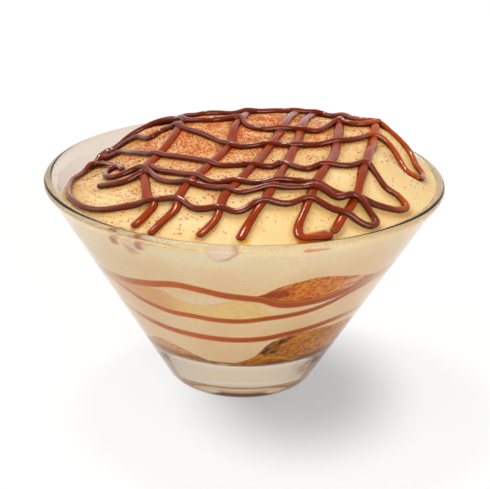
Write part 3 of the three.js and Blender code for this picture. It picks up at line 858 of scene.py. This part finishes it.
ROWS = [
    [(-28, 31), (-19.5, 28.5), (-12, 25.5), (-4, 28), (3, 32.5), (13.5, 32.5), (21, 32), (27, 27),
     (32, 19.5), (36.5, 18), (40.5, 15.5), (45.5, 11.5), (47.5, 5), (49, 0), (47.5, -5), (44.5, -3.5),
     (42.5, 1.5), (40, 5), (35, 5.5), (28.5, -0.5), (21.5, -3), (13.5, -5.5), (6.5, -4.5), (-3.5, -3.5),
     (-8.5, 2.5), (-16.5, 11.5), (-20.5, 17.5), (-24, 18), (-26.5, 16), (-31, 23), (-37, 25),
     (-40.5, 24.5), (-39.5, 22), (-35.5, 19.5), (-31, 9), (-25, -1), (-17.5, -7), (-12.5, -11),
     (-6.5, -17.5), (1.5, -19), (7, -20), (9.5, -18), (16.5, -22.5), (20, -20.5), (27, -20), (32, -16.5),
     (34.5, -20.5), (37, -24), (40.5, -24.5), (42.5, -27), (40.5, -29.5), (33.5, -32), (24.5, -33),
     (18, -30.5), (11, -29.5), (4, -30.3), (-4.5, -28), (-8, -27.5), (-12, -23.5), (-18.5, -18.5),
     (-22.5, -15), (-25, -10)],
    [(38, 17), (33, 13), (29.5, 13), (26, 15), (22.5, 10.5), (19.5, 6.5), (13, 8), (4, 8), (0.5, 10.5),
     (-2, 17.5), (-9, 15), (-16.5, 18.5), (-21, 28), (-28.5, 29.5), (-33, 28.5), (-37.5, 27.5),
     (-41, 25.5), (-45.5, 18.5)],
    [(-33, -7), (-36, 5.5), (-40, 17), (-42.5, 19.5), (-45.5, 17.5), (-47.5, 9.5), (-48, -2), (-46.5, -14),
     (-43, -22), (-39, -26.5), (-33.5, -29.5), (-26.5, -31.5), (-20, -32.5), (-16, -34.5), (-12.5, -38.5),
     (-6, -40), (-1, -41.5), (4, -39), (11, -39), (16.5, -36.5), (23, -38.5), (29, -39.8), (32.5, -40),
     (34, -38), (32.5, -35.5), (28.5, -33.5), (24.5, -35), (18, -32.5), (10, -33), (2.5, -34), (-1, -34.5),
     (-4.5, -32), (-13, -27.5), (-20, -24), (-22.5, -21), (-26, -13.5), (-28.5, -10.5), (-35, -10.5),
     (-37.5, -7), (-37, 0), (-34, 0)],
    [(-26.5, -15), (-31.5, -16.5), (-35.5, -15.5), (-39.5, -13)],
]
ROW_SIZE = (0.9, 0.9)
SLANT_SIZE = (1.3, 0.7)
STROKE_STEP = 0.5
STROKE_SIDES = 16
CROSSING_CLIMB = 0.55
SINK = 0.3
MOST_LIFT = 1.3
CLIMB_REACH = 9
STROKE_ROOM = 0.3
LEAST_TAPER = 0.02
FUSE_VOXEL = 0.33
FUSE_ROUNDS = 3

# Waves in a stroke's width, as (share of it, length, turn from one stroke to the next)
UNEVENNESS = [(0.09, 3.1, 1), (0.06, 1.7, 2)]

# Way that the painted highlight along the top of a stroke faces
PAINTED_HIGHLIGHT_FACING = (-0.1, 0.37, 0.92)


def drawn_in(points, knots, t, reach):
    """Points between neighbours, one fewer, on the way to a point of the curve."""
    return [(points[k] * (knots[k + reach] - t) + points[k + 1] * (t - knots[k]))
            / (knots[k + reach] - knots[k]) for k in range(len(points) - 1)]


def curve_points(plan):
    """Points about a step apart on a smooth curve through the plan's points, with no sharp bends."""
    plan = np.array(plan, float)
    plan = np.concatenate([[2 * plan[0] - plan[1]], plan, [2 * plan[-1] - plan[-2]]])
    points = []
    for index in range(1, len(plan) - 2):
        around = plan[index - 1:index + 3]
        knots = np.concatenate([[0], np.cumsum(np.sqrt(np.linalg.norm(np.diff(around, axis=0), axis=1)))])
        count = max(2, int(np.linalg.norm(around[2] - around[1]) / STROKE_STEP))
        for t in np.linspace(knots[1], knots[2], count, endpoint=False):
            second = drawn_in(drawn_in(around, knots, t, 1), knots, t, 2)
            points += drawn_in(second, knots[1:], t, 1)
    points.append(plan[-2])
    return np.array(points)


def smoothed(values, reach):
    """Values along a stroke, averaged over their neighbours."""
    kernel = np.exp(-np.linspace(-2, 2, 2 * reach + 1) ** 2)
    kernel /= kernel.sum()
    padded = np.concatenate([np.repeat(values[:1], reach), values, np.repeat(values[-1:], reach)])
    return np.convolve(padded, kernel, mode="valid")


def lay_stroke(plan, size, laid):
    """Centre line of a stroke on the cream, which rides over each stroke laid before it."""
    flat = curve_points(plan)
    half_wide, half_high = size
    x, y = flat.T
    room = inner_radius(mound(x, y)) - half_wide - STROKE_ROOM
    pull = np.minimum(1, room / np.hypot(x, y))
    x = x * pull
    y = y * pull
    rest = mound(x, y) + half_high - SINK
    z = rest.copy()
    for under, under_size in laid:
        reach = half_wide + under_size[0]
        apart = np.hypot(x[:, None] - under[None, :, 0], y[:, None] - under[None, :, 1])
        share = np.sqrt(np.clip(1 - (apart / reach) ** 2, 0, 1))
        climb = (half_high + under_size[1]) * CROSSING_CLIMB * share
        z = np.maximum(z, np.where(apart < reach, under[None, :, 2] + climb, -np.inf).max(1))
    z = np.maximum(np.minimum(smoothed(z, CLIMB_REACH), rest + MOST_LIFT), rest)
    return np.stack([x, y, z], -1)


def stroke_mesh(points, size, seed):
    """Rings round the centre line, uneven in width, with round ends."""
    count = len(points)
    tangent = np.gradient(points, axis=0)
    tangent /= np.linalg.norm(tangent, axis=1)[:, None]
    side = np.cross(tangent, [0, 0, 1])
    side /= np.linalg.norm(side, axis=1)[:, None]
    lift = np.cross(side, tangent)
    along = np.arange(count) * STROKE_STEP
    uneven = np.ones(count)
    for share, length, shift in UNEVENNESS:
        uneven += share * np.sin(along / length + shift * seed)
    from_end = np.minimum(along, along[-1] - along)
    taper = np.sqrt(np.clip(1 - (1 - np.clip(from_end / size[0], 0, 1)) ** 2, LEAST_TAPER, 1))
    turn = 2 * np.pi * np.arange(STROKE_SIDES) / STROKE_SIDES
    wide = (size[0] * uneven * taper)[:, None, None] * np.cos(turn)[None, :, None] * side[:, None, :]
    high = (size[1] * (2 - uneven) * taper)[:, None, None] * np.sin(turn)[None, :, None] * lift[:, None, :]
    rings = (points[:, None, :] + wide + high).reshape(-1, 3)
    vertices = np.concatenate([points[:1], rings, points[-1:]])
    return vertices, ring_faces(count, STROKE_SIDES)


def lay_strokes(plans, size, laid):
    """The laid strokes and, after them, those of the plans, each as its centre line and its size."""
    laid = list(laid)
    for plan in plans:
        laid.append((lay_stroke(plan, size, laid), size))
    return laid


def make_drizzle(name, strokes, tone, painted_highlight, look):
    vertices = []
    faces = []
    start = 0
    for seed, (points, size) in enumerate(strokes):
        own_vertices, own_faces = stroke_mesh(points, size, seed)
        vertices.append(own_vertices)
        faces += [tuple(start + corner_index for corner_index in face) for face in own_faces]
        start += len(own_vertices)
    drizzle = new_piece(name, np.concatenate(vertices), faces, look, "sauce", ["cream_top"])
    fuse(drizzle)
    paint_drizzle(drizzle.data, tone, painted_highlight)


def paint_drizzle(mesh, tone, painted_highlight):
    """Painted shade underneath, a painted highlight along the top, and warmer in the loops at the right,
    where they are thinner.
    """
    found = {}
    for kind in ("co", "normal"):
        found[kind] = np.empty(3 * len(mesh.vertices), np.float32)
        mesh.vertices.foreach_get(kind, found[kind])
    x, y, _ = found["co"].reshape(-1, 3).T / MM
    normals = found["normal"].reshape(-1, 3)
    paint = blend(tone, CHOCOLATE_LOOP, 0.8 * past(x + 0.2 * y, "loop"))
    # Painted shade where the drizzle faces down, then a painted highlight where it faces up and back
    paint = blend(CHOCOLATE_PAINTED_SHADE, paint, past(normals[:, 2], "facing_up"))
    paint = blend(paint, CHOCOLATE_PAINTED_HIGHLIGHT, painted_highlight * past(normals @ np.array(PAINTED_HIGHLIGHT_FACING), "painted_highlight"))
    add_paint(mesh, paint)


def fuse(piece):
    """Joins overlapping strokes into one skin with soft corners where they meet."""
    remesh = piece.modifiers.new("fuse", "REMESH")
    remesh.mode = "VOXEL"
    remesh.voxel_size = FUSE_VOXEL * MM
    remesh.use_smooth_shade = True
    soften = piece.modifiers.new("soften", "SMOOTH")
    soften.factor = 0.5
    soften.iterations = FUSE_ROUNDS
    graph = bpy.context.evaluated_depsgraph_get()
    fused = bpy.data.meshes.new_from_object(piece.evaluated_get(graph))
    piece.modifiers.clear()
    old = piece.data
    piece.data = fused
    bpy.data.meshes.remove(old)
    fused.shade_smooth()


# Cocoa
FLECKS = 38000
FLECK_SIDES = 3
FLECK_LEAST = 0.13
FLECK_RANGE = 0.27
FLECK_STRETCH = (0.7, 1.7)
FLECK_UNEVENNESS = (0.7, 1.2)
TRIES_PER_FLECK = 6
COCOA_SEED = 7
COCOA_MARGIN = 3
STRAY_CHANCE = 0.008


def make_cocoa(look):
    """Small flat flecks on the cream, thickest where the cocoa fell, all in one mesh."""
    draw = random.Random(COCOA_SEED)
    reach = inner_radius(GLASS_HEIGHT) - COCOA_MARGIN
    tries = np.array([(draw.uniform(-reach, reach), draw.uniform(-reach, reach))
                      for _ in range(FLECKS * TRIES_PER_FLECK)])
    tries = tries[np.hypot(tries[:, 0], tries[:, 1]) < reach]
    chance = 0.5 * cocoa_density(tries[:, 0], tries[:, 1]) + STRAY_CHANCE
    kept = tries[np.array([draw.random() for _ in tries]) < chance][:FLECKS]
    heights = cream_top_surface(kept[:, 0], kept[:, 1])
    sides = FLECK_SIDES
    vertices = []
    faces = []
    paint = []
    for (x, y), z in zip(kept, heights):
        size = FLECK_LEAST + FLECK_RANGE * draw.random() ** 2
        start = len(vertices)
        turn = draw.uniform(0, 2 * math.pi)
        stretch = draw.uniform(*FLECK_STRETCH)
        for side in range(sides):
            angle = 2 * math.pi * side / sides
            along = size * stretch * draw.uniform(*FLECK_UNEVENNESS) * math.cos(angle)
            across = size * draw.uniform(*FLECK_UNEVENNESS) * math.sin(angle)
            vertices.append((x + along * math.cos(turn) - across * math.sin(turn),
                             y + along * math.sin(turn) + across * math.cos(turn), z))
        vertices.append((x, y, z + 0.5 * size))
        tone = blend(COCOA_LIGHT, COCOA_DARK, draw.random() ** 1.6)
        paint += [tone] * (sides + 1)
        for side in range(sides):
            faces.append((start + side, start + (side + 1) % sides, start + sides))
        faces.append(tuple(start + side for side in reversed(range(sides))))
    new_piece("cocoa", vertices, faces, look, "sauce", (), paint, smooth=False)


# Stage

WHITE = (1, 1, 1, 1)
FLOOR_GREY = (0.2, 0.2, 0.2, 1)
UNDER_FOOT_GLOW = (0.5, 0.17, 0.03, 1)

# Floor, in metres: its glow is weaker in a soft shadow to the right, and warm under the foot
FLOOR_HALF = 3.0
FLOOR_DROP = 0.0001
SHADOW_MIDDLE = (0.016, -0.012, 0)
SHADOW_REACH = (0.038, 0.055, 1)
FOOT_EDGE_SPAN = (0.0153, 0.0187)
GLOW = ((0.25, 1.02), (0.40, 0.80))

# Studio, as spans of height and depth and the light's levels over them
HEIGHT_LIGHT = ((0.0, 0.9), (0.965, 0.5))
DEPTH_LIGHT = ((-0.6, 0.3), (0.4, 1.0))


def make_camera():
    turn = (Matrix.Rotation(math.radians(90 - CAMERA_ELEVATION), 4, "X")
            @ Matrix.Rotation(math.radians(CAMERA_ROLL), 4, "Z"))
    place = Vector(CAMERA_AIM) + turn.col[2].to_3d() * CAMERA_DISTANCE
    data = bpy.data.cameras.new("camera")
    data.sensor_width = SENSOR_WIDTH
    data.lens = CAMERA_LENS
    data.clip_start = 0.01
    data.clip_end = 20
    camera = add_object("camera", data)
    camera.matrix_world = Matrix.Translation(place * MM) @ turn
    bpy.context.scene.camera = camera


def make_floor():
    mesh = bpy.data.meshes.new("floor")
    corners = [(x * FLOOR_HALF, y * FLOOR_HALF, 0) for x, y in ((-1, -1), (1, -1), (1, 1), (-1, 1))]
    mesh.from_pydata(corners, [], [(0, 1, 2, 3)])
    look, nodes, links, shader = finish("pale_floor", roughness=0.9, specular=0.1)
    shader.inputs["Base Color"].default_value = FLOOR_GREY
    place = nodes.new("ShaderNodeTexCoord").outputs["Object"]
    moved = vector_node(nodes, links, "SUBTRACT", place)
    moved.inputs[1].default_value = SHADOW_MIDDLE
    scaled = vector_node(nodes, links, "DIVIDE", moved.outputs["Vector"])
    scaled.inputs[1].default_value = SHADOW_REACH
    away = vector_node(nodes, links, "LENGTH", scaled.outputs["Vector"])
    glow = map_range(nodes, links, away.outputs["Value"], *GLOW)
    glow.interpolation_type = "SMOOTHSTEP"
    from_foot = vector_node(nodes, links, "LENGTH", place)
    outside = map_range(nodes, links, from_foot.outputs["Value"], FOOT_EDGE_SPAN)
    warmth = nodes.new("ShaderNodeMix")
    warmth.data_type = "RGBA"
    warmth.inputs["A"].default_value = UNDER_FOOT_GLOW
    warmth.inputs["B"].default_value = WHITE
    links.new(outside.outputs["Result"], warmth.inputs["Factor"])
    links.new(warmth.outputs["Result"], shader.inputs["Emission Color"])
    links.new(glow.outputs["Result"], shader.inputs["Emission Strength"])
    mesh.materials.append(look)
    floor = add_object("floor", mesh)
    floor.location.z = -FLOOR_DROP


def make_light(name, kind, power, place, direction):
    data = bpy.data.lights.new(name, kind)
    data.energy = power
    light = add_object(name, data)
    light.location = place
    light.rotation_mode = "QUATERNION"
    light.rotation_quaternion = Vector(direction).to_track_quat("-Z", "Y")
    return data


def make_lamp(name, place, aim, size, power, tone=WHITE[:3]):
    data = make_light(name, "AREA", power, place, Vector(aim) - Vector(place))
    data.shape = "RECTANGLE"
    data.size, data.size_y = size
    data.color = tone


def make_world():
    """A white studio, bright behind the object, greyer above and dim before it."""
    world = bpy.data.worlds.new("studio")
    world.use_nodes = True
    nodes = world.node_tree.nodes
    links = world.node_tree.links
    back = nodes["Background"]
    back.inputs["Color"].default_value = WHITE
    place = nodes.new("ShaderNodeTexCoord")
    split = nodes.new("ShaderNodeSeparateXYZ")
    links.new(place.outputs["Generated"], split.inputs["Vector"])
    level = map_range(nodes, links, split.outputs["Z"], *HEIGHT_LIGHT)
    behind = map_range(nodes, links, split.outputs["Y"], *DEPTH_LIGHT)
    both = nodes.new("ShaderNodeMath")
    both.operation = "MULTIPLY"
    links.new(level.outputs["Result"], both.inputs[0])
    links.new(behind.outputs["Result"], both.inputs[1])
    links.new(both.outputs["Value"], back.inputs["Strength"])
    bpy.context.scene.world = world


def make_stage():
    bpy.context.scene.view_settings.view_transform = "Standard"
    make_camera()
    make_floor()
    make_world()
    make_lamp("key", place=(-0.22, 0.42, 1.05), aim=(0, 0, 0.05), size=(0.2, 0.14), power=5.0,
              tone=(1, 0.93, 0.82))
    make_lamp("fill", place=(0.35, -1.15, 0.45), aim=(0, 0, 0.04), size=(1.0, 0.4), power=10.5)
    sun = make_light("sun", "SUN", power=0.6, place=(0, 0, 0), direction=(0.85, 0.05, -0.5))
    sun.angle = math.radians(40)


# The whole

def make_food():
    cream = ("cream", painted("cream_behind_glass"), paint_cream, CREAM_REACH, THIN_ROWS)
    top_look = painted("cream", roughness=0.45, specular=0.25, bump=CREAM_BUMP)
    sauce = ("sauce", painted("sauce"), paint_sauce, SAUCE_REACH, THIN_ROWS)
    crumb = ("sponge", painted("sponge_crumb", size=0.5, dark=0.75, light=1.2), paint_high_sponge,
             SPONGE_REACH, SPONGE_ROWS)
    golden = ("sponge", painted("soft_crumb", size=1.2, light=1.06), paint_middle_sponge,
              SPONGE_REACH, GOLDEN_ROWS)
    soaked = ("soaked_sponge", painted("soaked_crumb", size=0.7, dark=0.7, light=1.25), paint_base_sponge,
              SPONGE_REACH, SPONGE_ROWS)
    drizzle = {"size": 3, "dark": 0.88, "light": 1.15, "bump": CHOCOLATE_BUMP}
    chocolate = painted("chocolate", roughness=0.15, specular=0.2, **drizzle)
    glossy_chocolate = painted("glossy_chocolate", roughness=0.12, specular=0.42, **drizzle)

    base_top = sheet(BASE_TOP, BASE_LEVEL)
    low = sheet(LOW_SAUCE, LOW_SAUCE_LEVEL)
    middle = sheet(MIDDLE_SAUCE, MIDDLE_SAUCE_LEVEL)
    high = sheet(HIGH_SAUCE, HIGH_SAUCE_LEVEL)
    over_low = raised(low, LOW_HALF - TUCK)
    over_middle = raised(middle, MIDDLE_HALF - TUCK)
    over_high = raised(high, HIGH_HALF - TUCK)
    middle_sponge = above(over_middle, sheet(MIDDLE_SPONGE, MIDDLE_SPONGE_LEVEL), 0)
    high_sponge = above(over_high, sheet(HIGH_SPONGE, HIGH_SPONGE_LEVEL), 0)
    for layer in [
            ("base", "sponge", soaked, floor_surface, above(floor_surface, base_top, BASE_LEAST)),
            ("low", "cream", cream, raised(base_top, -TUCK), raised(low, -LOW_HALF + TUCK)),
            ("low", "sauce", sauce, raised(low, -LOW_HALF), raised(low, LOW_HALF)),
            ("middle", "cream", cream, over_low, raised(middle, -MIDDLE_HALF + TUCK)),
            ("middle", "sauce", sauce, raised(middle, -MIDDLE_HALF), raised(middle, MIDDLE_HALF)),
            ("middle", "sponge", golden, over_middle, middle_sponge),
            ("high", "cream", cream, raised(middle_sponge, -TUCK), raised(high, -HIGH_HALF + TUCK)),
            ("high", "sauce", sauce, raised(high, -HIGH_HALF), raised(high, HIGH_HALF)),
            ("high", "sponge", crumb, over_high, high_sponge)]:
        make_layer(*layer)

    slants = lay_strokes(SLANTS, SLANT_SIZE, [])
    laid = lay_strokes(ROWS, ROW_SIZE, slants)
    top = ("cream", top_look, lambda *placed: paint_top(*placed, laid), CREAM_REACH, TOP_ROWS)
    make_layer("top", "cream", top, raised(high_sponge, -TUCK), cream_top_surface, TOP_RINGS)
    # The number before each finish is its share of painted highlight along the drizzle's top
    make_drizzle("slanting_drizzle", slants, CHOCOLATE_WARM, 0.1, chocolate)
    make_drizzle("crossing_drizzle", laid[len(slants):], CHOCOLATE, 0.9, glossy_chocolate)
    make_cocoa(painted("cocoa_powder", roughness=0.9, specular=0.2))


make_stage()
make_glass(glass_finish())
make_food()

bpy.context.view_layer.update()
